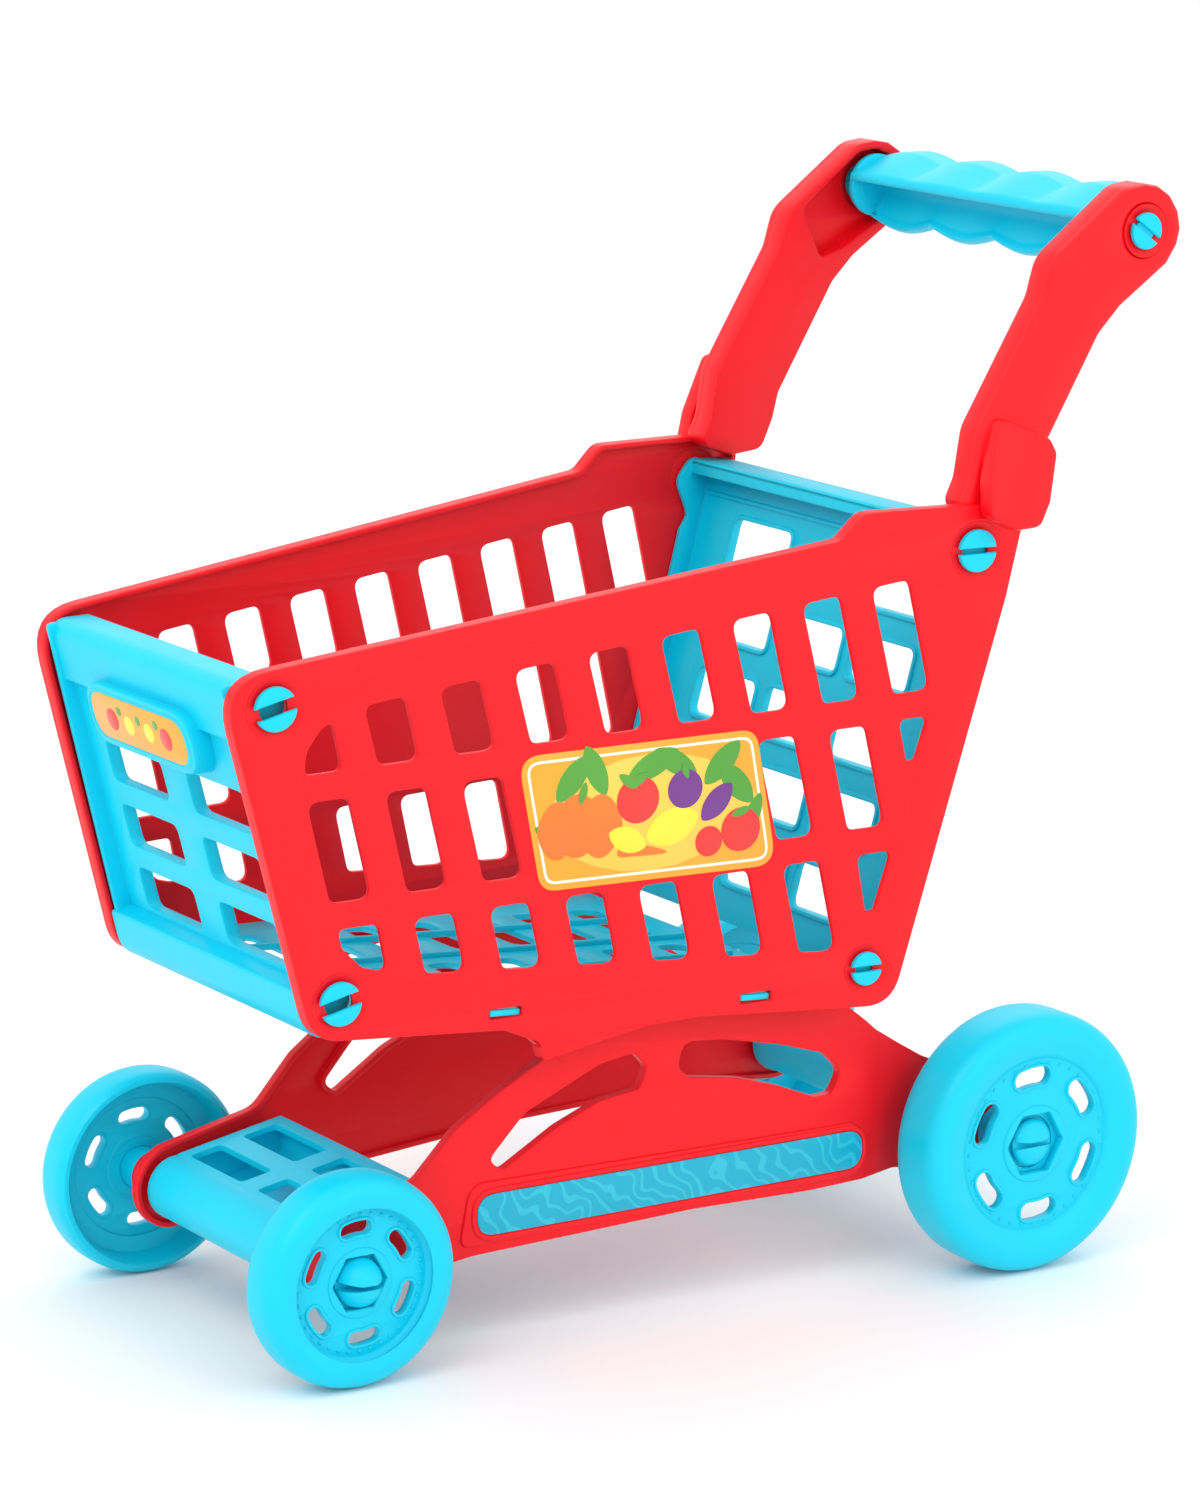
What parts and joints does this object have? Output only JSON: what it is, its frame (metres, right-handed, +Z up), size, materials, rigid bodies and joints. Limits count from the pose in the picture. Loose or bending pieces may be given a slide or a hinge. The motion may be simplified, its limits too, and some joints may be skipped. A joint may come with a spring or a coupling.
{
  "type": "toy shopping trolley",
  "caption": "Child's toy shopping trolley: leaning slotted basket walls, push grip on two arms, low chassis frames and freely rolling plastic wheels.",
  "frame": {"origin": "centre of the bounding box on the floor plane", "axes": "+Z up, -Y toward the trolley's front, +X toward the trolley's left side as it is pushed"},
  "size_m": [0.2054, 0.3872, 0.401],
  "materials": {
    "red_plastic": "satin gloss",
    "blue_plastic": "satin gloss",
    "inlay_plastic": "printed satin",
    "sticker_film": "printed film"
  },
  "bodies": {
    "body": {"side_panel_left": "red_plastic", "side_panel_right": "red_plastic", "front_panel": "blue_plastic", "rear_gate": "blue_plastic", "basket_floor": "blue_plastic", "handle_grip": "blue_plastic", "chassis_frame_left": "red_plastic", "chassis_frame_right": "red_plastic", "frame_inlay_left": "inlay_plastic", "frame_inlay_right": "inlay_plastic", "front_bracket": "blue_plastic", "rear_bracket": "blue_plastic", "front_axle": "blue_plastic", "rear_axle": "blue_plastic", "sticker_left": "sticker_film", "sticker_right": "sticker_film", "sticker_front": "sticker_film"},
    "front_wheel_left": {"front_wheel_left": "blue_plastic"},
    "front_wheel_right": {"front_wheel_right": "blue_plastic"},
    "rear_wheel_left": {"rear_wheel_left": "blue_plastic"},
    "rear_wheel_right": {"rear_wheel_right": "blue_plastic"}
  },
  "joints": [
    {"name": "front_wheel_left_spin", "type": "hinge", "parent": "body", "child": "front_wheel_left", "pos_m": [0.0755, -0.14885, 0.0383], "axis": [1, 0, 0], "continuous": true},
    {"name": "front_wheel_right_spin", "type": "hinge", "parent": "body", "child": "front_wheel_right", "pos_m": [-0.0755, -0.14885, 0.0383], "axis": [1, 0, 0], "continuous": true},
    {"name": "rear_wheel_left_spin", "type": "hinge", "parent": "body", "child": "rear_wheel_left", "pos_m": [0.0902, 0.13115, 0.0494], "axis": [1, 0, 0], "continuous": true},
    {"name": "rear_wheel_right_spin", "type": "hinge", "parent": "body", "child": "rear_wheel_right", "pos_m": [-0.0902, 0.13115, 0.0494], "axis": [1, 0, 0], "continuous": true}
  ]
}
